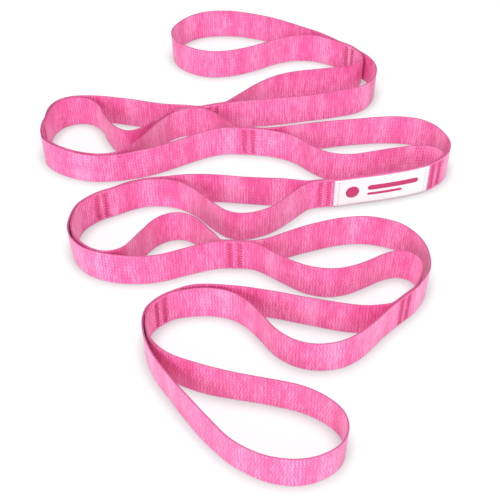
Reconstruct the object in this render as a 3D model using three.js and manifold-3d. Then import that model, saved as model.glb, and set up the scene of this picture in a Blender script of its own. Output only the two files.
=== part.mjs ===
// A ten-loop, non-elastic stretching strap standing on its long edge, laid out in a
// serpentine. Two runs of flat webbing are bar-tacked together at ten seams. The long run
// bulges away from the short run between the seams, which opens the loops.
// Millimetres, +Z up, origin on the floor under the middle of the laid-out strap.

import * as THREE from 'three';
import { mergeVertices } from 'three/addons/utils/BufferGeometryUtils.js';
import Module from 'manifold-3d';

// ---------------------------------------------------------------- driving dimensions

const WEB_WIDTH = 25;            // webbing width, which stands upright here
const WEB_THICKNESS = 1.1;
const LAYER_GAP = 0.3;           // between the two layers of a seam
const FIT_GAP = 0.3;             // between stitching and the webbing around it
const SEAM_LENGTH = 13;          // straight, doubled stretch at each seam
const FLEX_GAP = 1.2;            // slit beside a seam, on whose middle the next loop turns
const LEAD = 3;                  // how far a strip runs on straight beyond its seam

const TACK_WIDTH = 5;            // one bar tack, along the strap
const TACK_HEIGHT = 22;
const TACK_PLACES = [-3.2, 3.2];  // middles of a seam's two bar tacks along it
const THREAD_THICKNESS = 0.5;
const STITCH_SIZE = 0.7;         // square bundle of thread through the layers
const STITCH_HEIGHTS = [5, 12.5, 20];
const PIERCE_REACH = 4;          // stitch holes go this far, through both layers and the label

const LABEL_LENGTH = 70;
const LABEL_HEIGHT = 23;
const LABEL_THICKNESS = 0.4;
const LABEL_ROW_WIDTH = 1.6;     // one row of stitches at each end of the label
const LABEL_ROW_INSET = 3;       // from the label's end to the middle of the row

const STATIONS_PER_SPAN = 3;     // cross-sections from one route point to the next
const LABEL_SPANS = 16;          // straight spans that the curved label is made of

const LAYER_OFFSET = (WEB_THICKNESS + LAYER_GAP) / 2;   // seam's middle to a layer's middle
const LAYER_FACE = WEB_THICKNESS + LAYER_GAP / 2;       // seam's middle to a layer's outer face
const TACK_MARGIN = (WEB_WIDTH - TACK_HEIGHT) / 2;
const LABEL_MARGIN = (WEB_WIDTH - LABEL_HEIGHT) / 2;

// ---------------------------------------------------------------- layout on the floor

// The seams from one end of the strap to the other: middle point and heading in degrees
// from +X. The long run is always on the left of the heading, the short run on the right.
const SEAMS = {
  seam_1: { x: 88, y: 171, heading: -45 },
  seam_2: { x: -24, y: 88, heading: 196 },
  seam_3: { x: -149, y: 60, heading: -87 },
  seam_4: { x: 4, y: 58.5, heading: -5 },
  seam_5: { x: 137.5, y: 20.3, heading: 217 },
  seam_6: { x: 57, y: -2, heading: 187 },
  seam_7: { x: -98, y: -15.5, heading: 212 },
  seam_8: { x: -5, y: -63.5, heading: -2 },
  seam_9: { x: 100, y: -111.5, heading: 222 },
  seam_10: { x: -50, y: -114.5, heading: 222 },
};

const LONG_RUN = 1;
const SHORT_RUN = -1;

// Route points of the two sides of each loop between its seams. A loop carries the seam on
// its side away from the label, because the strap is jointed outwards from the label.
const LOOPS = [
  {
    name: 'loop_2', from: 'seam_1', to: 'seam_2', carries: 'from',
    long: [[102, 156], [106.5, 142], [104, 127], [94, 114], [72, 106], [40, 98.5], [10, 94], [-6, 92]],
    short: [[97, 159], [96.5, 151.5], [88, 143.5], [66, 138.3], [44, 134.2], [27, 128], [11, 116.8],
      [-4.5, 101]],
  },
  {
    name: 'loop_3', from: 'seam_2', to: 'seam_3', carries: 'from',
    long: [[-42, 84.8], [-55, 79.2], [-66.5, 68.5], [-76, 58.5], [-85, 55], [-95, 60], [-103.5, 72.5],
      [-110.5, 87.5], [-119.5, 96], [-131.5, 97.2], [-141.5, 92], [-147.2, 81.4]],
    short: [[-45, 87.5], [-64, 89.5], [-87, 95], [-108, 99], [-122, 100], [-134, 98.5], [-143.5, 93],
      [-149, 82]],
  },
  {
    name: 'loop_4', from: 'seam_3', to: 'seam_4', carries: 'from',
    long: [[-146, 47.2], [-139.8, 40.9], [-130.2, 34.7], [-119.5, 30.1], [-108, 27.7], [-98, 27.9],
      [-90.5, 30.2], [-83.5, 35.5], [-76, 44], [-70, 55], [-63.3, 66.2], [-54.3, 76.8], [-43.8, 82.2],
      [-33.8, 83], [-25, 79.6], [-17.5, 73], [-10.5, 65.5]],
    short: [[-147.5, 46.5], [-141, 39.5], [-131, 33], [-120, 28.3], [-108, 25.8], [-94, 26.2], [-78, 30],
      [-60, 37], [-40, 48], [-24, 56], [-12, 59]],
  },
  {
    name: 'loop_5', from: 'seam_4', to: 'seam_5', carries: 'from',
    long: [[20, 58.8], [42, 62.5], [72, 68], [103, 72], [120, 72], [133, 69], [142, 62], [147.5, 53],
      [150.5, 43], [149.8, 34]],
    short: [[20, 55.5], [35, 50], [43, 44], [51, 36], [59, 30], [68, 27], [80, 26.5], [95, 30.5],
      [109, 34.5], [122, 37], [133, 37], [141, 34]],
  },
  {
    name: 'loop_6', from: 'seam_6', to: 'seam_7', carries: 'to',
    long: [[42, -8], [32, -18], [23, -27], [12, -33.7], [0, -36.6], [-11, -33.9], [-21, -25], [-32, -13],
      [-43, -4.8], [-55, -1.4], [-67, -1.5], [-80, -6]],
    short: [[30, -1], [5, 1], [-20, 3.7], [-40, 3.6], [-56, 1.8], [-69, 0], [-81, -4.5]],
  },
  {
    name: 'loop_7', from: 'seam_7', to: 'seam_8', carries: 'to',
    long: [[-110.6, -27.6], [-113.1, -38.3], [-113.1, -49.6], [-109.3, -59.4], [-102, -67.6],
      [-93, -72.3], [-84, -72.6], [-76.5, -68.4], [-71, -60.5], [-65.5, -52], [-59.5, -43.5], [-52, -38],
      [-43, -36], [-35, -38.5], [-28, -44.5], [-22, -52.5], [-17, -58.5]],
    short: [[-112, -27], [-114.8, -38], [-114.8, -50], [-110.8, -60.5], [-103, -69], [-92, -74.5],
      [-78, -77.5], [-64, -78], [-50, -75.5], [-37, -70.5], [-24, -66]],
  },
  {
    name: 'loop_8', from: 'seam_8', to: 'seam_9', carries: 'to',
    long: [[11, -62.5], [18, -60], [27, -55.5], [38, -50.5], [52, -45.5], [66, -41.5], [80, -40],
      [93, -42], [104, -46.5], [112, -54], [117.5, -64], [119.5, -76], [118.5, -87], [114, -96.5]],
    short: [[12, -67.5], [22, -75], [33, -82.5], [45, -88], [57, -89.5], [69, -87], [81, -81], [92, -75],
      [102, -72.5], [110, -75.5], [114.9, -84], [112.4, -94]],
  },
  {
    name: 'loop_9', from: 'seam_9', to: 'seam_10', carries: 'to',
    long: [[88, -123.5], [79, -133.5], [69, -143], [57, -149], [44, -150.5], [31, -147], [20, -138.5],
      [12, -127.5], [4, -117], [-6, -109.5], [-17, -106.3], [-29, -106.3]],
    short: [[85, -119.5], [74, -120.5], [60, -118.5], [40, -113.5], [20, -108.5], [0, -104.3],
      [-16, -102.5], [-30, -103]],
  },
];

// The end loops are one strip each, from the long run round the open end to the short run.
const END_LOOPS = [
  {
    name: 'loop_1', seam: 'seam_1', beside: -1,
    route: [[64, 192.5], [48, 203], [31, 213.5], [14, 221.5], [-4, 227], [-22, 228.5], [-39, 225],
      [-52, 215], [-60, 201], [-60.5, 189], [-54, 176.5], [-41, 167], [-26, 163], [-10, 165],
      [9, 172.5], [30, 184], [48, 188.5], [62, 187]],
  },
  {
    name: 'loop_10', seam: 'seam_10', beside: 1,
    route: [[-57.2, -130], [-55.6, -140], [-50.5, -149.5], [-42, -157.5], [-29, -164], [-10, -170],
      [12, -175], [33, -180.5], [47, -188], [55.5, -197], [58, -207], [54, -218], [43, -226],
      [28, -229], [12, -226],
      [-4, -217], [-18, -203], [-31, -186.5], [-43, -170], [-53, -154], [-57.7, -141], [-59.1, -129.8]],
  },
];

// The label section is doubled from seam 5 to seam 6 without opening into a loop.
const LABEL_ROUTE = [[118, 10.8], [100, 6], [82, 2.3]];

// ---------------------------------------------------------------- materials

const webbing = () => new THREE.MeshStandardMaterial({ color: 0xf9639f, roughness: 0.55, metalness: 0 });
const thread = () => new THREE.MeshStandardMaterial({ color: 0xe64f8e, roughness: 0.6, metalness: 0 });
const labelCloth = () => new THREE.MeshStandardMaterial({ color: 0xf6f5f3, roughness: 0.5, metalness: 0 });

// ---------------------------------------------------------------- solids

const wasm = await Module();
wasm.setup();

function toSolid(geometry) {
  const bare = geometry.clone();
  bare.deleteAttribute('normal');
  bare.deleteAttribute('uv');
  const merged = mergeVertices(bare, 1e-4);
  return new wasm.Manifold(new wasm.Mesh({
    numProp: 3,
    vertProperties: new Float32Array(merged.attributes.position.array),
    triVerts: new Uint32Array(merged.index.array),
  }));
}

function toGeometry(solid) {
  const mesh = solid.getMesh();
  const geometry = new THREE.BufferGeometry();
  geometry.setAttribute('position', new THREE.BufferAttribute(mesh.vertProperties.slice(), 3));
  geometry.setIndex(new THREE.BufferAttribute(mesh.triVerts.slice(), 1));
  geometry.computeVertexNormals();
  return geometry;
}

// A box in a seam's own frame: x along the strap, y to the left of the heading, z up.
function seamBox(frame, [x0, x1], [y0, y1], [z0, z1]) {
  const box = new THREE.BoxGeometry(x1 - x0, y1 - y0, z1 - z0);
  box.translate((x0 + x1) / 2, (y0 + y1) / 2, (z0 + z1) / 2);
  box.applyMatrix4(frame);
  return toSolid(box);
}

// ---------------------------------------------------------------- routes

function headingVector(degrees) {
  const angle = THREE.MathUtils.degToRad(degrees);
  return new THREE.Vector2(Math.cos(angle), Math.sin(angle));
}

function seamFrame(seam) {
  const frame = new THREE.Matrix4().makeRotationZ(THREE.MathUtils.degToRad(seam.heading));
  return frame.setPosition(seam.x, seam.y, 0);
}

// The point `along` the seam's heading from its middle, in the layer of the given run.
function seamPoint(seam, along, run) {
  const ahead = headingVector(seam.heading);
  const aside = run * LAYER_OFFSET;
  return new THREE.Vector3(
    seam.x + along * ahead.x - aside * ahead.y,
    seam.y + along * ahead.y + aside * ahead.x,
    0,
  );
}

const toPoint = ([x, y]) => new THREE.Vector3(x, y, 0);

function smoothStations(points) {
  const curve = new THREE.CatmullRomCurve3(points, false, 'centripetal');
  return curve.getPoints((points.length - 1) * STATIONS_PER_SPAN);
}

// Stations of one side of a loop. At the seam that the loop carries, the strip goes on
// straight to the seam's far end; at the other it stops short, where the hinge is.
function sideStations(loop, run, route) {
  const from = SEAMS[loop.from];
  const to = SEAMS[loop.to];
  const half = SEAM_LENGTH / 2;
  const start = loop.carries === 'from' ? half : half + FLEX_GAP;
  const end = loop.carries === 'to' ? -half : -half - FLEX_GAP;
  const stations = smoothStations([
    seamPoint(from, start, run),
    seamPoint(from, start + LEAD, run),
    ...route.map(toPoint),
    seamPoint(to, end - LEAD, run),
    seamPoint(to, end, run),
  ]);
  if (loop.carries === 'from') stations.unshift(seamPoint(from, -half, run));
  if (loop.carries === 'to') stations.push(seamPoint(to, half, run));
  return stations;
}

function endLoopStations({ seam, beside, route }) {
  const start = beside * (SEAM_LENGTH / 2 + FLEX_GAP);
  return smoothStations([
    seamPoint(SEAMS[seam], start, LONG_RUN),
    seamPoint(SEAMS[seam], start + beside * LEAD, LONG_RUN),
    ...route.map(toPoint),
    seamPoint(SEAMS[seam], start + beside * LEAD, SHORT_RUN),
    seamPoint(SEAMS[seam], start, SHORT_RUN),
  ]);
}

// The middle line of the label section, with its two straight seam stretches.
function labelSectionStations() {
  const half = SEAM_LENGTH / 2;
  const middle = smoothStations([
    seamPoint(SEAMS.seam_5, half, 0),
    seamPoint(SEAMS.seam_5, half + LEAD, 0),
    ...LABEL_ROUTE.map(toPoint),
    seamPoint(SEAMS.seam_6, -half - LEAD, 0),
    seamPoint(SEAMS.seam_6, -half, 0),
  ]);
  return [seamPoint(SEAMS.seam_5, -half, 0), ...middle, seamPoint(SEAMS.seam_6, half, 0)];
}

function leftNormal(stations, index) {
  const before = stations[Math.max(index - 1, 0)];
  const after = stations[Math.min(index + 1, stations.length - 1)];
  const here = stations[index];
  const incoming = here.clone().sub(before).normalize();
  const outgoing = after.clone().sub(here).normalize();
  const tangent = incoming.add(outgoing).normalize();
  return new THREE.Vector3(-tangent.y, tangent.x, 0);
}

// A flat strip that stands on its edge along the stations: a box bent to the route.
function ribbon(stations, { offset = 0, thickness = WEB_THICKNESS, bottom = 0, top = WEB_WIDTH } = {}) {
  const spans = stations.length - 1;
  const box = new THREE.BoxGeometry(spans, thickness, top - bottom, spans, 1, 1);
  const position = box.attributes.position;
  const normals = stations.map((_, index) => leftNormal(stations, index));
  for (let i = 0; i < position.count; i += 1) {
    const index = Math.round(position.getX(i) + spans / 2);
    const aside = offset + position.getY(i);
    const point = stations[index].clone().addScaledVector(normals[index], aside);
    position.setXYZ(i, point.x, point.y, position.getZ(i) + (bottom + top) / 2);
  }
  return toSolid(box);
}

// Evenly spaced stations between two distances along a station list.
function cutStations(stations, begin, end, spans) {
  const path = new THREE.CatmullRomCurve3(stations, false, 'centripetal');
  const length = path.getLength();
  const station = (_, i) => path.getPointAt((begin + (end - begin) * i / spans) / length);
  return Array.from({ length: spans + 1 }, station);
}

// ---------------------------------------------------------------- stitching

// Thread that shows on both outer faces, joined by bundles of stitches through the layers.
function stitchedTack(frame, x, width, frontFace) {
  const half = width / 2;
  const across = [x - half, x + half];
  const upright = [TACK_MARGIN, WEB_WIDTH - TACK_MARGIN];
  const back = -LAYER_FACE - FIT_GAP;
  const front = frontFace + FIT_GAP;
  let tack = seamBox(frame, across, [front, front + THREAD_THICKNESS], upright);
  tack = tack.add(seamBox(frame, across, [back - THREAD_THICKNESS, back], upright));
  const through = [back - THREAD_THICKNESS / 2, front + THREAD_THICKNESS / 2];
  for (const height of STITCH_HEIGHTS) {
    tack = tack.add(stitchBundle(frame, x, height, through, STITCH_SIZE));
  }
  return tack;
}

function stitchBundle(frame, x, height, through, size) {
  const half = size / 2;
  return seamBox(frame, [x - half, x + half], through, [height - half, height + half]);
}

function pierce(solid, frame, x) {
  let pierced = solid;
  const through = [-PIERCE_REACH, PIERCE_REACH];
  for (const height of STITCH_HEIGHTS) {
    const hole = stitchBundle(frame, x, height, through, STITCH_SIZE + 2 * FIT_GAP);
    pierced = pierced.subtract(hole);
  }
  return pierced;
}

function pierceSeam(solid, seam) {
  return TACK_PLACES.reduce((rest, x) => pierce(rest, seamFrame(seam), x), solid);
}

// ---------------------------------------------------------------- assembly

const strap = new THREE.Group();

function addPiece(name, solid, material) {
  const mesh = new THREE.Mesh(toGeometry(solid), material);
  mesh.name = name;
  strap.add(mesh);
}

for (const loop of LOOPS) {
  const carried = SEAMS[loop[loop.carries]];
  const long = ribbon(sideStations(loop, LONG_RUN, loop.long));
  const short = ribbon(sideStations(loop, SHORT_RUN, loop.short));
  addPiece(`${loop.name}_long_side`, pierceSeam(long, carried), webbing());
  addPiece(`${loop.name}_short_side`, pierceSeam(short, carried), webbing());
}

for (const loop of END_LOOPS) {
  addPiece(`${loop.name}_webbing`, ribbon(endLoopStations(loop)), webbing());
}

for (const [name, seam] of Object.entries(SEAMS)) {
  TACK_PLACES.forEach((x, index) => {
    const tack = stitchedTack(seamFrame(seam), x, TACK_WIDTH, LAYER_FACE);
    addPiece(`${name}_bar_tack_${index + 1}`, tack, thread());
  });
}

// The label lies on the outer face of the long run's layer, centred between the seams.
const sectionLine = labelSectionStations();
const sectionLength = new THREE.CatmullRomCurve3(sectionLine, false, 'centripetal').getLength();
const labelStart = (sectionLength - LABEL_LENGTH) / 2;
const labelLine = cutStations(sectionLine, labelStart, labelStart + LABEL_LENGTH, LABEL_SPANS);
const labelRows = [labelStart + LABEL_ROW_INSET, labelStart + LABEL_LENGTH - LABEL_ROW_INSET];

// A frame on the middle line at a distance along it, like a seam's frame.
function lineFrame(distance) {
  const [behind, here, ahead] = cutStations(sectionLine, distance - 1, distance + 1, 2);
  const heading = Math.atan2(ahead.y - behind.y, ahead.x - behind.x);
  return new THREE.Matrix4().makeRotationZ(heading).setPosition(here.x, here.y, 0);
}

const rowFrames = labelRows.map(lineFrame);
const labelFace = LAYER_FACE + FIT_GAP + LABEL_THICKNESS;

function pierceRows(solid) {
  return rowFrames.reduce((rest, frame) => pierce(rest, frame, 0), solid);
}

const layers = {
  label_section_label_layer: LAYER_OFFSET,
  label_section_back_layer: -LAYER_OFFSET,
};
for (const [name, offset] of Object.entries(layers)) {
  let layer = ribbon(sectionLine, { offset });
  layer = pierceSeam(pierceSeam(layer, SEAMS.seam_5), SEAMS.seam_6);
  addPiece(name, pierceRows(layer), webbing());
}

const label = ribbon(labelLine, {
  offset: LAYER_FACE + FIT_GAP + LABEL_THICKNESS / 2,
  thickness: LABEL_THICKNESS,
  bottom: LABEL_MARGIN,
  top: WEB_WIDTH - LABEL_MARGIN,
});
addPiece('woven_label', pierceRows(label), labelCloth());

rowFrames.forEach((frame, index) => {
  addPiece(`label_stitch_row_${index + 1}`, stitchedTack(frame, 0, LABEL_ROW_WIDTH, labelFace), thread());
});

export default strap;
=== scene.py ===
"""A pink ten-loop stretching strap of nylon webbing, standing on its long edge."""
import math
import random

import bpy
import numpy as np
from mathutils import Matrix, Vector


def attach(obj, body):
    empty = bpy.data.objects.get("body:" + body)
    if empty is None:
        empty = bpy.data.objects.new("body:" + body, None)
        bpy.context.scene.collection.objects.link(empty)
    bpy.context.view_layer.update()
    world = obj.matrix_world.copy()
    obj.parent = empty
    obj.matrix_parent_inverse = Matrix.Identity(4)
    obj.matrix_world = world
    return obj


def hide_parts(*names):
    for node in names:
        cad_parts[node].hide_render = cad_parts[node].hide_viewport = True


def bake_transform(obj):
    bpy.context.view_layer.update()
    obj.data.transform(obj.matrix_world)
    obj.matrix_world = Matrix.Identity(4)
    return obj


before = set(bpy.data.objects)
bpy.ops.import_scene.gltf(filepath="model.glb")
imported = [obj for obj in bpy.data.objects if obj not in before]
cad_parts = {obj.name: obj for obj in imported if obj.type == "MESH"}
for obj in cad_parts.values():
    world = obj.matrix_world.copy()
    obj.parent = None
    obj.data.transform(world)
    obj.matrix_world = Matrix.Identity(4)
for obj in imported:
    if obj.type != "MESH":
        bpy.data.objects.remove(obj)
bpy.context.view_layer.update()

MM = 0.001

# ---------------------------------------------------------------- camera, floor and light

CAMERA_PLACE = (0.005, -0.501, 0.439)
CAMERA_ELEVATION = 44            # degrees that it looks down
LENS = 66.96
WORLD_LIGHT = 0.45               # the world's strength as light; the camera sees it as white

scene = bpy.context.scene
scene.view_settings.view_transform = "Standard"

camera_data = bpy.data.cameras.new("camera")
camera_data.sensor_width = 36
camera_data.lens = LENS
camera = bpy.data.objects.new("camera", camera_data)
camera.location = CAMERA_PLACE
camera.rotation_euler = (math.radians(90 - CAMERA_ELEVATION), 0, 0)
scene.collection.objects.link(camera)
scene.camera = camera


def area_light(name, place, target, size, power, colour=(1, 1, 1)):
    data = bpy.data.lights.new(name, "AREA")
    data.shape = "RECTANGLE"
    data.size, data.size_y = size
    data.energy = power
    data.color = colour
    light = bpy.data.objects.new(name, data)
    light.location = place
    aim = Vector(target) - Vector(place)
    light.rotation_euler = aim.to_track_quat("-Z", "Y").to_euler()
    scene.collection.objects.link(light)


area_light("overhead", (0.0, -0.3, 1.3), (0, 0, 0), (1.2, 0.9), 10)
area_light("front_left", (-0.75, -1.3, 0.8), (0, 0, 0), (0.5, 0.8), 14)
area_light("front_right", (1.0, -1.0, 0.6), (0, 0, 0), (0.3, 0.8), 6)

world = bpy.data.worlds.new("studio")
world.use_nodes = True
backdrop = world.node_tree.nodes["Background"]
backdrop.inputs["Color"].default_value = (1, 1, 1, 1)
ray = world.node_tree.nodes.new("ShaderNodeLightPath")
strength = world.node_tree.nodes.new("ShaderNodeMapRange")
strength.inputs["To Min"].default_value = WORLD_LIGHT
strength.inputs["To Max"].default_value = 1.0
world.node_tree.links.new(ray.outputs["Is Camera Ray"], strength.inputs["Value"])
world.node_tree.links.new(strength.outputs[0], backdrop.inputs["Strength"])
scene.world = world

# ---------------------------------------------------------------- dimensions, millimetres

WEB_WIDTH = 25
LAYER_ASIDE = 0.56               # from a seam's middle line to the middle of one layer
SEAM_HALF = 6.5                  # half of a seam's straight, doubled stretch
FLEX_GAP = 1.2                   # slit beside a seam, where the next loop's solids stop
LEAD = 3                         # straight run beyond the slit
FOLD_LENGTH = 12.5               # length of webbing cut off as a separate fold piece beside a seam
STATION_STEP = 1.25

LONG_RUN = 1                     # left of the heading
SHORT_RUN = -1

# Half the webbing's thickness up its width, from an edge to the middle: a rolled selvedge,
# a shallow groove beside it and a flat body.
HALF_SECTION = [
    (0.0, 0.20), (0.1, 0.36), (0.28, 0.48), (0.6, 0.53), (1.1, 0.52), (1.7, 0.46), (2.4, 0.45),
    (4.2, 0.49), (6.5, 0.50), (9.5, 0.50), (12.5, 0.50),
]

BODY_START = 1.4                 # from an edge to where tacks begin to press the webbing
BODY_EASE = 1.2                  # and how gradually

TACK_PLACES = (-3.2, 3.2)        # the two bar tacks of a seam, from its middle
TACK_DENT = 0.17                 # how far they press each face in
TACK_DENT_EDGE = 0.5
TACK_WIDTH = 4.6
TACK_HEIGHT = 21.5
ZIGZAG_PITCH = 2.1
ZIGZAG_PAIR = 0.22               # of the pitch, between a stitch out and the stitch back
THREAD_RADIUS = 0.3

LABEL_LENGTH = 70
LABEL_HEIGHT = 23
LABEL_HALF_THICKNESS = 0.2
LABEL_ASIDE = 1.32
LABEL_ROW_INSET = 3
LABEL_PUFF = 0.35                # how far it stands off the webbing between its rows
LABEL_HEM = 5.2                  # of each end, turned under
LABEL_HEM_THICKNESS = 0.16
MARK_RAISED = 0.09
MARK_SUNK = 0.06
ROW_STITCHES = 9
ROW_MARGIN = 0.8
ROW_THREAD_RADIUS = 0.2

# ---------------------------------------------------------------- layout, as in the CAD

SEAMS = {
    1: (88, 171, -45), 2: (-24, 88, 196), 3: (-149, 60, -87), 4: (4, 58.5, -5),
    5: (137.5, 20.3, 217), 6: (57, -2, 187), 7: (-98, -15.5, 212), 8: (-5, -63.5, -2),
    9: (100, -111.5, 222), 10: (-50, -114.5, 222),
}

# The bend of each seam's doubled stretch, in degrees a millimetre to the left.
SEAM_BEND = {1: -1.5, 2: 0.3, 3: 1.5, 4: -0.2, 5: -1.1, 6: 0.5, 7: 1.3, 8: -0.2, 9: 0.2, 10: 1.7}

# Each middle loop: seam before it, seam after it, seam that it carries, long side, short side.
LOOPS = {
    2: (1, 2, 1,
        [(102, 156), (106.5, 142), (104, 127), (94, 114), (72, 106), (40, 98.5), (10, 94),
         (-6, 92)],
        [(97, 159), (96.5, 151.5), (88, 143.5), (66, 138.3), (44, 134.2), (27, 128), (11, 116.8),
         (-4.5, 101)]),
    3: (2, 3, 2,
        [(-42, 84.8), (-55, 79.2), (-66.5, 68.5), (-76, 58.5), (-85, 55),
         (-95, 60), (-103.5, 72.5), (-110.5, 87.5), (-119.5, 96), (-131.5, 97.2),
         (-141.5, 92), (-147.2, 81.4)],
        [(-45, 87.5), (-64, 89.5), (-87, 95), (-108, 99), (-122, 100), (-134, 98.5),
         (-143.5, 93), (-149, 82)]),
    4: (3, 4, 3,
        [(-146, 47.2), (-139.8, 40.9), (-130.2, 34.7), (-119.5, 30.1), (-108, 27.7),
         (-98, 27.9), (-90.5, 30.2), (-83.5, 35.5), (-76, 44), (-70, 55), (-63.3, 66.2),
         (-54.3, 76.8), (-43.8, 82.2), (-33.8, 83), (-25, 79.6), (-17.5, 73), (-10.5, 65.5)],
        [(-147.5, 46.5), (-141, 39.5), (-131, 33), (-120, 28.3), (-108, 25.8), (-94, 26.2),
         (-78, 30), (-60, 37), (-40, 48), (-24, 56), (-12, 59)]),
    5: (4, 5, 4,
        [(20, 58.8), (42, 62.5), (72, 68), (103, 72), (120, 72), (133, 69), (142, 62),
         (147.5, 53), (150.5, 43), (149.8, 34)],
        [(20, 55.5), (35, 50), (43, 44), (51, 36), (59, 30), (68, 27), (80, 26.5),
         (95, 30.5), (109, 34.5), (122, 37), (133, 37), (141, 34)]),
    6: (6, 7, 7,
        [(42, -8), (32, -18), (23, -27), (12, -33.7), (0, -36.6), (-11, -33.9),
         (-21, -25), (-32, -13), (-43, -4.8), (-55, -1.4), (-67, -1.5),
         (-80, -6)],
        [(30, -1), (5, 1), (-20, 3.7), (-40, 3.6), (-56, 1.8), (-69, 0), (-81, -4.5)]),
    7: (7, 8, 8,
        [(-110.6, -27.6), (-113.1, -38.3), (-113.1, -49.6), (-109.3, -59.4), (-102, -67.6),
         (-93, -72.3), (-84, -72.6), (-76.5, -68.4), (-71, -60.5), (-65.5, -52), (-59.5, -43.5),
         (-52, -38), (-43, -36), (-35, -38.5), (-28, -44.5), (-22, -52.5), (-17, -58.5)],
        [(-112, -27), (-114.8, -38), (-114.8, -50), (-110.8, -60.5), (-103, -69),
         (-92, -74.5), (-78, -77.5), (-64, -78), (-50, -75.5), (-37, -70.5), (-24, -66)]),
    8: (8, 9, 9,
        [(11, -62.5), (18, -60), (27, -55.5), (38, -50.5), (52, -45.5), (66, -41.5),
         (80, -40), (93, -42), (104, -46.5), (112, -54), (117.5, -64), (119.5, -76),
         (118.5, -87), (114, -96.5)],
        [(12, -67.5), (22, -75), (33, -82.5), (45, -88), (57, -89.5), (69, -87), (81, -81),
         (92, -75), (102, -72.5), (110, -75.5), (114.9, -84), (112.4, -94)]),
    9: (9, 10, 10,
        [(88, -123.5), (79, -133.5), (69, -143), (57, -149), (44, -150.5), (31, -147),
         (20, -138.5), (12, -127.5), (4, -117), (-6, -109.5), (-17, -106.3), (-29, -106.3)],
        [(85, -119.5), (74, -120.5), (60, -118.5), (40, -113.5), (20, -108.5), (0, -104.3),
         (-16, -102.5), (-30, -103)]),
}

# Each end loop: its seam, the side of the seam that it is on, and its route.
END_LOOPS = {
    1: (1, -1,
        [(64, 192.5), (48, 203), (31, 213.5), (14, 221.5), (-4, 227), (-22, 228.5),
         (-39, 225), (-52, 215), (-60, 201), (-60.5, 189), (-54, 176.5), (-41, 167),
         (-26, 163), (-10, 165), (9, 172.5), (30, 184), (48, 188.5), (62, 187)]),
    10: (10, 1,
         [(-57.2, -130), (-55.6, -140), (-50.5, -149.5), (-42, -157.5), (-29, -164),
          (-10, -170), (12, -175), (33, -180.5), (47, -188), (55.5, -197), (58, -207),
          (54, -218), (43, -226), (28, -229), (12, -226), (-4, -217), (-18, -203),
          (-31, -186.5), (-43, -170), (-53, -154), (-57.7, -141), (-59.1, -129.8)]),
}

LABEL_ROUTE = [(118, 10.8), (100, 6), (82, 2.3)]

# Which body carries each seam.
SEAM_CARRIER = {1: 2, 2: 3, 3: 4, 4: 5, 5: None, 6: None, 7: 6, 8: 7, 9: 8, 10: 9}


def body_name(loop):
    return "label_section" if loop is None else f"loop_{loop}"


# ---------------------------------------------------------------- routes

def heading_vector(seam, turned=0.0):
    angle = math.radians(SEAMS[seam][2] + turned)
    return np.array([math.cos(angle), math.sin(angle)])


def left_of(vector):
    return np.stack([-vector[..., 1], vector[..., 0]], axis=-1)


def seam_point(seam, along, aside=0.0):
    """A point that far along the seam's arc from its middle, and aside to the left. The arc
    bulges outwards, so that it meets the CAD's straight seam where the slits are."""
    ahead = heading_vector(seam)
    bend = math.radians(SEAM_BEND[seam])
    slit = bend * (SEAM_HALF + FLEX_GAP)
    forward = math.sin(bend * along) / bend
    sideways = (math.cos(slit) - math.cos(bend * along)) / bend
    here = np.array(SEAMS[seam][:2]) + forward * ahead + sideways * left_of(ahead)
    return here + aside * left_of(heading_vector(seam, SEAM_BEND[seam] * along))


def seam_stretch(seam, begin, end, aside):
    return [seam_point(seam, along, aside) for along in np.linspace(begin, end, 12)]


def catmull_rom(points, per_span=10):
    """A centripetal Catmull-Rom curve through the points, as three.js draws it."""
    p = np.array(points, float)
    line = []
    for i in range(len(p) - 1):
        p1, p2 = p[i], p[i + 1]
        p0 = p[i - 1] if i else 2 * p1 - p2
        p3 = p[i + 2] if i + 2 < len(p) else 2 * p2 - p1
        d0, d1, d2 = (math.sqrt(np.linalg.norm(b - a)) for a, b in ((p0, p1), (p1, p2), (p2, p3)))
        t1 = ((p1 - p0) / d0 - (p2 - p0) / (d0 + d1) + (p2 - p1) / d1) * d1
        t2 = ((p2 - p1) / d1 - (p3 - p1) / (d1 + d2) + (p3 - p2) / d2) * d1
        for w in np.arange(per_span) / per_span:
            line.append(
                p1 + t1 * w + (3 * (p2 - p1) - 2 * t1 - t2) * w**2
                + (2 * (p1 - p2) + t1 + t2) * w**3
            )
    line.append(p[-1])
    return np.array(line)


def resample(line, step=STATION_STEP):
    """The line at even steps, and each station's distance along it."""
    reach = np.concatenate([[0], np.cumsum(np.linalg.norm(np.diff(line, axis=0), axis=1))])
    at = np.linspace(0, reach[-1], max(2, round(reach[-1] / step)) + 1)
    return np.stack([np.interp(at, reach, line[:, k]) for k in (0, 1)], axis=1), at


def side_line(first, last, carried, run, route):
    """One side of a middle loop, from seam to seam, with the straight stretch of its own."""
    aside = run * LAYER_ASIDE
    start = SEAM_HALF + (0 if carried == first else FLEX_GAP)
    end = -SEAM_HALF - (0 if carried == last else FLEX_GAP)
    curve = catmull_rom(
        [seam_point(first, start, aside), seam_point(first, start + LEAD, aside), *route,
         seam_point(last, end - LEAD, aside), seam_point(last, end, aside)]
    )
    head_start = -SEAM_HALF if carried == first else SEAM_HALF
    tail_end = SEAM_HALF if carried == last else -SEAM_HALF
    head = seam_stretch(first, head_start, start, aside)
    tail = seam_stretch(last, end, tail_end, aside)
    return np.vstack([head[:-1], curve, tail[1:]])


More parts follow.
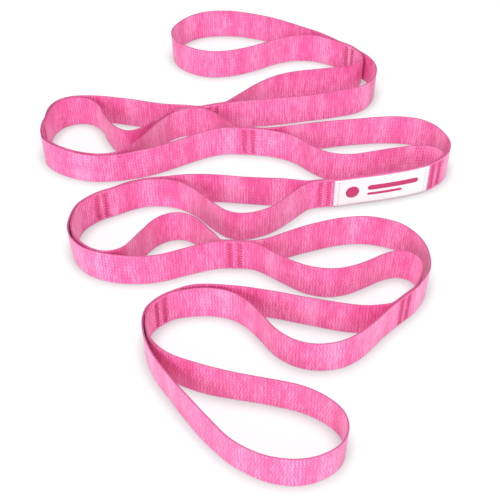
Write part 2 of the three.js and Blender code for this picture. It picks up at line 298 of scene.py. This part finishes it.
def end_loop_line(seam, beside, route):
    start = beside * (SEAM_HALF + FLEX_GAP)
    far = start + beside * LEAD
    curve = catmull_rom(
        [seam_point(seam, start, LAYER_ASIDE), seam_point(seam, far, LAYER_ASIDE), *route,
         seam_point(seam, far, -LAYER_ASIDE), seam_point(seam, start, -LAYER_ASIDE)]
    )
    edge = beside * SEAM_HALF
    head = seam_stretch(seam, edge, start, LAYER_ASIDE)
    tail = seam_stretch(seam, start, edge, -LAYER_ASIDE)
    return np.vstack([head[:-1], curve, tail[1:]])


def label_section_line():
    middle = catmull_rom(
        [seam_point(5, SEAM_HALF), seam_point(5, SEAM_HALF + LEAD), *LABEL_ROUTE,
         seam_point(6, -SEAM_HALF - LEAD), seam_point(6, -SEAM_HALF)]
    )
    head = seam_stretch(5, -SEAM_HALF, SEAM_HALF, 0)
    tail = seam_stretch(6, -SEAM_HALF, SEAM_HALF, 0)
    return np.vstack([head[:-1], middle, tail[1:]])


def directions(line):
    ahead = np.gradient(line, axis=0)
    return ahead / np.linalg.norm(ahead, axis=1, keepdims=True)


# ---------------------------------------------------------------- meshes

def web_section():
    """(height, half thickness) up the whole width of the webbing."""
    upper = [(WEB_WIDTH - z, half) for z, half in reversed(HALF_SECTION[:-1])]
    return HALF_SECTION + upper


SECTION = web_section()


def smooth_step(x):
    x = np.clip(x, 0, 1)
    return x * x * (3 - 2 * x)


def make_piece(name, vertices, faces, flat_faces, material, attributes=(), normals=None):
    mesh = bpy.data.meshes.new(name)
    mesh.from_pydata((np.array(vertices) * MM).tolist(), [], faces)
    for key, values in attributes:
        layer = mesh.attributes.new(key, "FLOAT_VECTOR", "POINT")
        layer.data.foreach_set("vector", np.array(values, np.float32).ravel())
    smooth = np.ones(len(faces), bool)
    smooth[list(flat_faces)] = False
    mesh.polygons.foreach_set("use_smooth", smooth)
    mesh.materials.append(material)
    mesh.update()
    if normals is not None:
        flat = set(flat_faces)
        mesh.normals_split_custom_set(
            [(0, 0, 0) if i in flat else normals[v] for i, face in enumerate(faces) for v in face]
        )
    piece = bpy.data.objects.new(name, mesh)
    scene.collection.objects.link(piece)
    return piece


def strip_vertices(line, aside, dents, lean):
    """Rings of vertices, one at each station of a strip that stands on its edge.

    At each station aside shifts it to the left, dents press its faces in and lean tilts it."""
    zs = np.array([z for z, _ in SECTION])
    halves = np.array([half for _, half in SECTION])
    rim = np.minimum(zs, WEB_WIDTH - zs)
    body = smooth_step((rim - BODY_START) / BODY_EASE)
    left = left_of(directions(line))
    vertices = []
    for i, (point, across) in enumerate(zip(line, left)):
        middle = aside[i] + lean[i] * (zs / WEB_WIDTH - 0.5)
        half = halves - dents[i] * body
        for offsets, heights in ((middle + half, zs), ((middle - half)[::-1], zs[::-1])):
            vertices += [(*(point + across * o), z) for o, z in zip(offsets, heights)]
    return vertices


def ring_faces(stations, ring):
    """Faces of a closed strip with that many rings, and which of them are its two ends."""
    half = ring // 2
    faces = []
    for i in range(stations - 1):
        for k in range(ring):
            a, b = i * ring + k, i * ring + (k + 1) % ring
            faces.append((a, b, b + ring, a + ring))
    ends = []
    for base, turn in ((0, 1), ((stations - 1) * ring, -1)):
        for k in range(half - 1):
            quad = (base + k, base + ring - 1 - k, base + ring - 2 - k, base + k + 1)
            ends.append(len(faces))
            faces.append(quad[::turn])
    return faces, ends


def ring_normals(vertices, ring):
    """Each vertex's normal, from the neighbours along the strip and round its section."""
    grid = np.array(vertices).reshape(-1, ring, 3)
    around = np.roll(grid, -1, axis=1) - np.roll(grid, 1, axis=1)
    normals = np.cross(around, np.gradient(grid, axis=0)).reshape(-1, 3)
    return normals / np.linalg.norm(normals, axis=1, keepdims=True)


def weave_places(at, seed):
    zs = [z for z, _ in SECTION]
    return [(along * MM, z * MM, seed) for along in at for z in zs + zs[::-1]]


# ---------------------------------------------------------------- materials

class Shader:
    """A material with a Principled shader, and short names for the nodes that feed it."""

    def __init__(
        self, name, roughness, specular=0.5, sheen=0.0, sheen_tint=(1, 1, 1), sheen_roughness=0.5
    ):
        self.material = bpy.data.materials.new(name)
        self.material.use_nodes = True
        self.tree = self.material.node_tree
        self.surface = self.tree.nodes["Principled BSDF"]
        self.surface.inputs["Roughness"].default_value = roughness
        self.surface.inputs["Specular IOR Level"].default_value = specular
        self.surface.inputs["Sheen Weight"].default_value = sheen
        self.surface.inputs["Sheen Roughness"].default_value = sheen_roughness
        self.surface.inputs["Sheen Tint"].default_value = (*sheen_tint, 1)

    def node(self, kind, **settings):
        node = self.tree.nodes.new(kind)
        for key, value in settings.items():
            setattr(node, key, value)
        return node

    def link(self, source, socket):
        if hasattr(source, "default_value") or hasattr(source, "links"):
            self.tree.links.new(source, socket)
        else:
            socket.default_value = source

    def math(self, operation, a, b=0.0, c=0.0):
        node = self.node("ShaderNodeMath", operation=operation)
        for value, socket in zip((a, b, c), node.inputs):
            self.link(value, socket)
        return node.outputs[0]

    def place(self, name):
        """The two lengths and the seed that each vertex carries."""
        attribute = self.node("ShaderNodeAttribute", attribute_name=name)
        split = self.node("ShaderNodeSeparateXYZ")
        self.link(attribute.outputs["Vector"], split.inputs[0])
        return split.outputs

    def vector(self, x, y, z):
        node = self.node("ShaderNodeCombineXYZ")
        for value, socket in zip((x, y, z), node.inputs):
            self.link(value, socket)
        return node.outputs[0]

    def noise(self, vector, detail=2.0, roughness=0.5):
        node = self.node("ShaderNodeTexNoise", noise_dimensions="3D")
        self.link(vector, node.inputs["Vector"])
        node.inputs["Scale"].default_value = 1.0
        node.inputs["Detail"].default_value = detail
        node.inputs["Roughness"].default_value = roughness
        return node.outputs["Fac"]

    def wave(self, value, period):
        """A cosine of that period, from 0 to 1."""
        turned = self.math("COSINE", self.math("MULTIPLY", value, 2 * math.pi / period))
        return self.math("MULTIPLY_ADD", turned, 0.5, 0.5)

    def remap(self, value, low, high, to_low, to_high):
        node = self.node("ShaderNodeMapRange")
        for number, socket in zip((value, low, high, to_low, to_high), node.inputs):
            self.link(number, socket)
        return node.outputs[0]

    def mix(self, factor, a, b):
        node = self.node("ShaderNodeMix", data_type="RGBA")
        self.link(factor, node.inputs["Factor"])
        for value, socket in ((a, node.inputs[6]), (b, node.inputs[7])):
            self.link((*value, 1) if isinstance(value, tuple) else value, socket)
        return node.outputs[2]

    def bump(self, height, strength, distance, under=None):
        node = self.node("ShaderNodeBump")
        node.inputs["Strength"].default_value = strength
        node.inputs["Distance"].default_value = distance
        self.link(height, node.inputs["Height"])
        if under is not None:
            self.link(under, node.inputs["Normal"])
        return node.outputs[0]

    def finish(self, colour, roughness=None, normal=None):
        self.link(colour, self.surface.inputs["Base Color"])
        if roughness is not None:
            self.link(roughness, self.surface.inputs["Roughness"])
        if normal is not None:
            self.link(normal, self.surface.inputs["Normal"])
        return self.material


PINK = (0.86, 0.140, 0.400)
DEEP_PINK = (0.75, 0.075, 0.285)
PALE_PINK = (0.94, 0.320, 0.585)
SELVEDGE_PINK = (0.56, 0.080, 0.230)
CHEVRON_COLUMN = 2.8 * MM        # width of one slanting column of the herringbone
CHEVRON_PITCH = 2.0 * MM         # from one slanting rib to the next
WARP_PITCH = 0.55 * MM


def webbing_material():
    s = Shader("nylon_webbing", 0.45, 0.5, 0.35, (1.0, 0.62, 0.78), 0.35)
    along, up, seed = s.place("weave")
    column = s.math("DIVIDE", up, CHEVRON_COLUMN)
    zigzag = s.math("PINGPONG", column, 1.0)
    slant = s.math("MULTIPLY_ADD", zigzag, 0.45, s.math("DIVIDE", along, CHEVRON_PITCH))
    rib = s.wave(slant, 1.0)
    furrow = s.math("POWER", s.wave(up, CHEVRON_COLUMN), 3.0)
    warp = s.wave(up, WARP_PITCH)

    def grain(along_scale, up_scale, detail):
        across = s.math("MULTIPLY", along, along_scale)
        upwards = s.math("MULTIPLY", up, up_scale)
        return s.noise(s.vector(across, upwards, seed), detail)

    patches = s.remap(grain(38, 26, 1), 0.45, 0.62, 0, 1)
    ribs = grain(640, 110, 2)
    courses = grain(160, 1000, 1)
    # painted sheen: broad light and dark bands along the strip, painted into the colour in place of
    # the satin's reflections
    painted_sheen_bands = grain(62, 8, 2)
    # painted glints: fine bright sparkle painted into the colour; the same noise is also grain in
    # the weave's bump
    grain_and_painted_glints = grain(1300, 900, 1)
    weave = s.math("MULTIPLY", rib, 0.55)
    weave = s.math("MULTIPLY_ADD", warp, 0.06, weave)
    weave = s.math("MULTIPLY_ADD", grain_and_painted_glints, 0.3, weave)

    def add(tone, value, middle, share):
        return s.math("MULTIPLY_ADD", s.math("SUBTRACT", value, middle), share, tone)

    # The tone starts from the painted sheen bands.
    tone = add(0.52, painted_sheen_bands, 0.5, 2.0)
    tone = add(tone, ribs, 0.5, 1.6)
    tone = add(tone, courses, 0.5, 0.4)
    tone = add(tone, rib, 0.5, 0.5)
    tone = add(tone, s.math("MULTIPLY", furrow, patches), 0.0, -0.2)
    # painted glints: bright sparkle painted into the colour
    tone = add(tone, grain_and_painted_glints, 0.5, 0.9)
    colour = s.mix(s.remap(tone, 0.0, 0.5, 0, 1), DEEP_PINK, PINK)
    colour = s.mix(s.remap(tone, 0.5, 1.0, 0, 1), colour, PALE_PINK)
    edge = s.math("MINIMUM", up, s.math("SUBTRACT", WEB_WIDTH * MM, up))
    colour = s.mix(s.remap(edge, 0.0001, 0.0004, 1, 0), colour, SELVEDGE_PINK)
    roughness = s.remap(ribs, 0.3, 0.7, 0.34, 0.50)
    normal = s.bump(ribs, 0.5, 0.0006)
    normal = s.bump(weave, 0.6, 0.0002, normal)
    return s.finish(colour, roughness, normal)


def thread_material(name, colour, light):
    s = Shader(name, 0.42, 0.5, 0.2, (1.0, 0.7, 0.82), 0.4)
    along, around, seed = s.place("twist")
    ply = s.wave(s.math("ADD", s.math("DIVIDE", along, 0.0006), around), 1.0)
    fuzz = s.noise(s.vector(s.math("MULTIPLY", along, 900), s.math("MULTIPLY", around, 6), seed), 2)
    tone = s.math("MULTIPLY_ADD", fuzz, 0.5, s.math("MULTIPLY", ply, 0.5))
    return s.finish(s.mix(tone, colour, light), None, s.bump(ply, 0.5, 0.0001))


def label_material():
    s = Shader("label_satin", 0.38, 0.5, 0.25, (1, 1, 1), 0.4)
    along, up, seed = s.place("weave")
    grid = s.math("MULTIPLY", s.wave(up, 0.45 * MM), s.wave(along, 0.45 * MM))
    cloud = s.noise(s.vector(s.math("MULTIPLY", along, 140), s.math("MULTIPLY", up, 220), seed), 3)
    tone = s.math("MULTIPLY_ADD", cloud, 0.7, s.math("MULTIPLY", grid, 0.3))
    colour = s.mix(tone, (0.72, 0.71, 0.72), (0.92, 0.915, 0.92))
    return s.finish(colour, s.remap(cloud, 0.3, 0.7, 0.3, 0.48), s.bump(grid, 0.4, 0.0001))


def mark_material():
    s = Shader("label_mark", 0.5, 0.4, 0.15, (1, 0.7, 0.8), 0.4)
    along, up, seed = s.place("weave")
    satin = s.wave(s.math("MULTIPLY_ADD", up, 0.35, along), 0.5 * MM)
    return s.finish(s.mix(satin, (0.40, 0.010, 0.085), (0.62, 0.03, 0.17)), None,
                    s.bump(satin, 0.5, 0.0001))


WEBBING = webbing_material()
TACK_THREAD = thread_material("bar_tack_thread", (0.50, 0.035, 0.150), (0.78, 0.095, 0.290))
ROW_THREAD = thread_material("label_thread", (0.45, 0.10, 0.20), (0.72, 0.22, 0.38))
LABEL_CLOTH = label_material()
LABEL_MARK = mark_material()

# ---------------------------------------------------------------- webbing

PINNED = 2                       # beside a seam, where the webbing doesn't wander
SETTLED = 14                     # from there to where it wanders freely
EASE_REACH = 3                   # over which the easing of corners sets in
EASE_PASSES = 6
LEAN = 1.1                       # of the upper edge against the lower one
LEAN_WAVES = (57, 83, 131)
WANDER = 0.12                    # of the whole strip, sideways
WANDER_WAVES = (23, 37, 61)


def free_share(at, held, settled):
    """0 in the held lengths at either end, and 1 in the free middle."""
    head, tail = held
    return smooth_step((at - head) / settled) * smooth_step((at[-1] - tail - at) / settled)


def ease(line, share):
    """The line with its corners eased where its share isn't 0."""
    for _ in range(EASE_PASSES):
        chord = (line[:-2] + line[2:]) / 2
        line[1:-1] += 0.5 * share[1:-1, None] * (chord - line[1:-1])
    return line


def gentle_waves(at, rng, wavelengths, size):
    total = np.zeros_like(at)
    for wavelength in wavelengths:
        total += np.sin(2 * math.pi * (at / wavelength + rng.random())) * size / len(wavelengths)
    return total


def tack_dents(at, middles):
    """How far bar tacks at these distances press the webbing's faces in."""
    dents = np.zeros_like(at)
    for middle in middles:
        for place in TACK_PLACES:
            reach = np.abs(at - middle - place) / (TACK_WIDTH / 2 + TACK_DENT_EDGE)
            dents += TACK_DENT * smooth_step(1.3 - reach)
    return dents


def add_webbing(name, node, body, line, folds, tacked, seed):
    """One strip: a main piece that rides on its body, and fold pieces cut from its ends beside a
    seam.

    Each fold is its name, the strip's end that it is at (0 or 1) and its seam. The ends in
    tacked are sewn into a seam of the body itself."""
    line, at = resample(line)
    held = [SEAM_HALF * 2 if end in tacked else 0 for end in (0, 1)]
    line = ease(line, free_share(at, held, EASE_REACH))
    rng = random.Random(seed)
    free = free_share(at, [length + PINNED for length in held], SETTLED)
    lean = free * gentle_waves(at, rng, LEAN_WAVES, LEAN)
    aside = free * gentle_waves(at, rng, WANDER_WAVES, WANDER)
    middles = [d for d, end in ((SEAM_HALF, 0), (at[-1] - SEAM_HALF, 1)) if end in tacked]
    whole = strip_vertices(line, aside, tack_dents(at, middles), lean)
    places = weave_places(at, seed)
    ring = 2 * len(SECTION)
    normals = ring_normals(whole, ring)

    def part(part_name, low, high):
        """The strip from station low to station high, closed at both ends."""
        faces, ends = ring_faces(high - low + 1, ring)
        span = slice(low * ring, (high + 1) * ring)
        piece = make_piece(
            part_name, whole[span], faces, ends, WEBBING, [("weave", places[span])],
            normals[span],
        )
        return piece

    cut = round(FOLD_LENGTH / (at[1] - at[0]))
    folded = [end for _, end, _ in folds]
    first = cut if 0 in folded else 0
    last = len(line) - 1 - (cut if 1 in folded else 0)
    main = part(name, first, last)
    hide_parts(node)
    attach(main, body)
    for fold_name, end, seam in folds:
        fold = part(fold_name, *((0, first) if end == 0 else (last, len(line) - 1)))
        root, tip = (0, first) if end == 0 else (len(line) - 1, last)
        away = heading_vector(seam)
        away = away * np.sign((line[tip] - line[root]) @ away)
        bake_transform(fold)


for loop, (first, last, carried, *routes) in LOOPS.items():
    for run, word, route in zip((LONG_RUN, SHORT_RUN), ("long", "short"), routes):
        other, end, own_end = (last, 1, 0) if carried == first else (first, 0, 1)
        add_webbing(
            f"loop_{loop}_{word}_webbing", f"loop_{loop}_{word}_side", f"loop_{loop}",
            side_line(first, last, carried, run, route),
            [(f"seam_{other}_{word}_fold", end, other)], (own_end,), 10 * loop + (run > 0),
        )

for loop, (seam, beside, route) in END_LOOPS.items():
    add_webbing(
        f"loop_{loop}_end_webbing", f"loop_{loop}_webbing", f"loop_{loop}",
        end_loop_line(seam, beside, route),
        [(f"seam_{seam}_long_fold", 0, seam), (f"seam_{seam}_short_fold", 1, seam)], (),
        10 * loop,
    )

# ---------------------------------------------------------------- label section

section_line, section_at = resample(label_section_line())
section_left = left_of(directions(section_line))
section_length = section_at[-1]
for side, word in ((1, "label"), (-1, "back")):
    line = section_line + side * LAYER_ASIDE * section_left
    straight = np.zeros_like(section_at)
    dents = tack_dents(section_at, (SEAM_HALF, section_length - SEAM_HALF))
    vertices = strip_vertices(line, straight, dents, straight)
    faces, ends = ring_faces(len(line), 2 * len(SECTION))
    layer = make_piece(
        f"label_section_{word}_webbing", vertices, faces, ends, WEBBING,
        [("weave", weave_places(section_at, 3 + side))],
    )
    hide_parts(f"label_section_{word}_layer")
    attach(layer, "label_section")


def section_point(distance, aside, height):
    """A point beside the label section's middle line."""
    x, y = (np.interp(distance, section_at, section_line[:, k]) for k in (0, 1))
    nx, ny = (np.interp(distance, section_at, section_left[:, k]) for k in (0, 1))
    return (x + nx * aside, y + ny * aside, height)


label_start = (section_length - LABEL_LENGTH) / 2


def label_puff(share):
    """How far the label stands off the webbing, which its rows of stitches hold down."""
    return LABEL_PUFF * math.sin(math.pi * share) ** 0.6


def label_bow(puff, height):
    """The share of that puff at a height on the label."""
    return puff * math.sin(math.pi * (0.15 + 0.7 * height / LABEL_HEIGHT))


def label_fold(distance):
    """Extra half thickness where the label's ends are turned under."""
    inwards = min(distance, LABEL_LENGTH - distance)
    return LABEL_HEM_THICKNESS * float(smooth_step((LABEL_HEM - inwards) / 0.8))


def add_label():
    columns = 96
    heights = np.linspace(0, LABEL_HEIGHT, 16)
    margin = (WEB_WIDTH - LABEL_HEIGHT) / 2
    n = len(heights)
    vertices, places = [], []
    for i in range(columns + 1):
        distance = LABEL_LENGTH * i / columns
        puff = label_puff(i / columns)
        for side in (1, -1):
            for height in heights if side > 0 else heights[::-1]:
                rim = min(height, LABEL_HEIGHT - height)
                half = (LABEL_HALF_THICKNESS + label_fold(distance)) * (1 if rim > 0 else 0.6)
                aside = LABEL_ASIDE + label_bow(puff, height) + side * half
                vertices.append(section_point(label_start + distance, aside, margin + height))
                places.append((distance * MM, height * MM, 0.5))
    faces, ends = ring_faces(columns + 1, 2 * n)
    label = make_piece(
        "label_cloth", vertices, faces, ends, LABEL_CLOTH, [("weave", places)]
    )
    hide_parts("woven_label")
    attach(label, "label_section")


def add_mark(name, low, high, middle, half_height):
    """A flat patch on the label from low to high, measured from its left end as seen."""
    columns = max(14, round((high - low) / 0.6))
    rows = 5
    margin = (WEB_WIDTH - LABEL_HEIGHT) / 2
    vertices, places = [], []
    for i in range(columns + 1):
        seen = high + (low - high) * i / columns
        distance = LABEL_LENGTH - seen
        half = max(half_height(seen), 0.03)
        puff = label_puff(distance / LABEL_LENGTH)
        for side in (1, -1):
            for k in range(rows):
                height = middle + half * (2 * (k if side > 0 else rows - 1 - k) / (rows - 1) - 1)
                face = LABEL_ASIDE + label_bow(puff, height) + LABEL_HALF_THICKNESS
                aside = face + (MARK_RAISED if side > 0 else -MARK_SUNK)
                vertices.append(section_point(label_start + distance, aside, margin + height))
                places.append((seen * MM, height * MM, 0.5))
    faces, ends = ring_faces(columns + 1, 2 * rows)
    mark = make_piece(name, vertices, faces, ends, LABEL_MARK, [("weave", places)])
    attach(mark, "label_section")


def disc(middle, radius):
    return lambda seen: math.sqrt(max(radius**2 - (seen - middle) ** 2, 0))


def bar(low, high, half):
    """A bar with round ends."""
    def height(seen):
        inside = min(seen - low, high - seen, half)
        return math.sqrt(max(half**2 - (half - inside) ** 2, 0))
    return height


add_label()
add_mark("label_mark_disc", 8, 18, 11.5, disc(13, 5))
add_mark("label_mark_upper_bar", 24, 62, 13.6, bar(24, 62, 2.1))
add_mark("label_mark_lower_bar", 24, 50, 8.0, bar(24, 50, 1.1))

# ---------------------------------------------------------------- stitching

def tube(points, radius, sides=6):
    """Vertices, faces and twist places of a closed tube through the points."""
    points = np.array(points)
    ahead = np.gradient(points, axis=0)
    ahead /= np.linalg.norm(ahead, axis=1, keepdims=True)
    reach = np.concatenate([[0], np.cumsum(np.linalg.norm(np.diff(points, axis=0), axis=1))])
    vertices, places = [], []
    for i, (point, way) in enumerate(zip(points, ahead)):
        across = np.cross(way, (0.31, 0.17, 0.94))
        across /= np.linalg.norm(across)
        up = np.cross(across, way)
        for k in range(sides):
            angle = 2 * math.pi * k / sides
            vertices.append(point + radius * (math.cos(angle) * across + math.sin(angle) * up))
            places.append((reach[i] * MM, k / sides, 0.5))
    faces = []
    for i in range(len(points) - 1):
        for k in range(sides):
            a, b = i * sides + k, i * sides + (k + 1) % sides
            faces.append((a, a + sides, b + sides, b))
    last = (len(points) - 1) * sides
    faces.append(tuple(range(sides)))
    faces.append(tuple(range(last + sides - 1, last - 1, -1)))
    return vertices, faces, places


def join_tubes(tubes):
    vertices, faces, places = [], [], []
    for v, f, p in tubes:
        base = len(vertices)
        vertices += list(v)
        faces += [tuple(base + i for i in face) for face in f]
        places += p
    return vertices, faces, places


def zigzag(place_of, middle, face, rng):
    """Points of a bar tack's thread on one face: slanting stitches that dive at their ends."""
    pairs = round(TACK_HEIGHT / ZIGZAG_PITCH)
    low = (WEB_WIDTH - TACK_HEIGHT) / 2
    corners = []
    for k in range(2 * pairs):
        along = middle + (TACK_WIDTH / 2 + rng.uniform(-0.15, 0.15)) * (1 if k % 2 else -1)
        share = (k // 2 + (ZIGZAG_PAIR if k % 2 else 0)) / (pairs - 1 + ZIGZAG_PAIR)
        corners.append((along, low + TACK_HEIGHT * share + rng.uniform(-0.06, 0.06)))
    points = []
    outward = math.copysign(1, face)
    for (x0, z0), (x1, z1) in zip(corners, corners[1:]):
        for step in range(6):
            t = step / 6
            lift = 0.34 * math.sin(math.pi * t) ** 0.5 - 0.30
            points.append(place_of(x0 + (x1 - x0) * t, face + outward * lift, z0 + (z1 - z0) * t))
    return points


def seam_place(seam):
    return lambda along, aside, height: (*seam_point(seam, along, aside), height)


for seam, carrier in SEAM_CARRIER.items():
    for index, place in enumerate(TACK_PLACES, start=1):
        rng = random.Random(100 * seam + index)
        face = LAYER_ASIDE + HALF_SECTION[-1][1]
        tubes = [
            tube(zigzag(seam_place(seam), place, side * face, rng), THREAD_RADIUS)
            for side in (1, -1)
        ]
        vertices, faces, places = join_tubes(tubes)
        tack = make_piece(
            f"seam_{seam}_bar_tack_{index}_thread", vertices, faces, (), TACK_THREAD,
            [("twist", places)],
        )
        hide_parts(f"seam_{seam}_bar_tack_{index}")
        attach(tack, body_name(carrier))


def add_label_row(index, distance):
    """A row of running stitches through the label and both layers of webbing."""
    rng = random.Random(7 + index)
    tubes = []
    pitch = (LABEL_HEIGHT - 2 * ROW_MARGIN) / ROW_STITCHES
    front = LABEL_ASIDE + LABEL_HALF_THICKNESS + label_fold(LABEL_ROW_INSET)
    back = -LAYER_ASIDE - HALF_SECTION[-1][1]
    for k in range(ROW_STITCHES):
        low = (WEB_WIDTH - LABEL_HEIGHT) / 2 + ROW_MARGIN + pitch * k + pitch * 0.1
        high = low + pitch * 0.8
        lean = rng.uniform(-0.12, 0.12)
        for face, outward in ((front, 1), (back, -1)):
            points = []
            for step in range(7):
                t = step / 6
                lift = 0.36 * math.sin(math.pi * t) ** 0.5 - 0.26
                points.append(section_point(
                    distance + lean * (t - 0.5), face + outward * lift, low + (high - low) * t))
            tubes.append(tube(points, ROW_THREAD_RADIUS))
    vertices, faces, places = join_tubes(tubes)
    row = make_piece(
        f"label_row_{index}_thread", vertices, faces, (), ROW_THREAD,
        [("twist", places)],
    )
    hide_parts(f"label_stitch_row_{index}")
    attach(row, "label_section")


add_label_row(1, label_start + LABEL_ROW_INSET)
add_label_row(2, label_start + LABEL_LENGTH - LABEL_ROW_INSET)

# ---------------------------------------------------------------- floor

FLOOR_HALF = 12                  # metres
FLOOR_SINK = 0.0002              # below the strap, so that the two never meet
FLOOR_PAINTED_SHADOW = 0.010             # how far the painted soft shadow beside the strap reaches
FLOOR_GREY = 0.25
floor_mesh = bpy.data.meshes.new("floor")
floor_mesh.from_pydata(
    [(x * FLOOR_HALF, y * FLOOR_HALF, 0) for x, y in ((-1, -1), (1, -1), (1, 1), (-1, 1))],
    [], [(0, 1, 2, 3)],
)
floor_shader = Shader("floor", 0.6, 0.2)
# The floor glows evenly; ambient occlusion dims that glow beside the strap, a painted contact
# shadow.
nearby = floor_shader.node("ShaderNodeAmbientOcclusion", samples=8)
nearby.inputs["Distance"].default_value = FLOOR_PAINTED_SHADOW
glow_with_painted_shadow = floor_shader.remap(nearby.outputs["AO"], 0.45, 0.95, 0.40, 0.76)
floor_shader.link(glow_with_painted_shadow, floor_shader.surface.inputs["Emission Strength"])
floor_shader.surface.inputs["Emission Color"].default_value = (1, 1, 1, 1)
floor_mesh.materials.append(floor_shader.finish((FLOOR_GREY, FLOOR_GREY, FLOOR_GREY, 1)))
floor = bpy.data.objects.new("floor", floor_mesh)
floor.location = (0, 0, -FLOOR_SINK)
scene.collection.objects.link(floor)
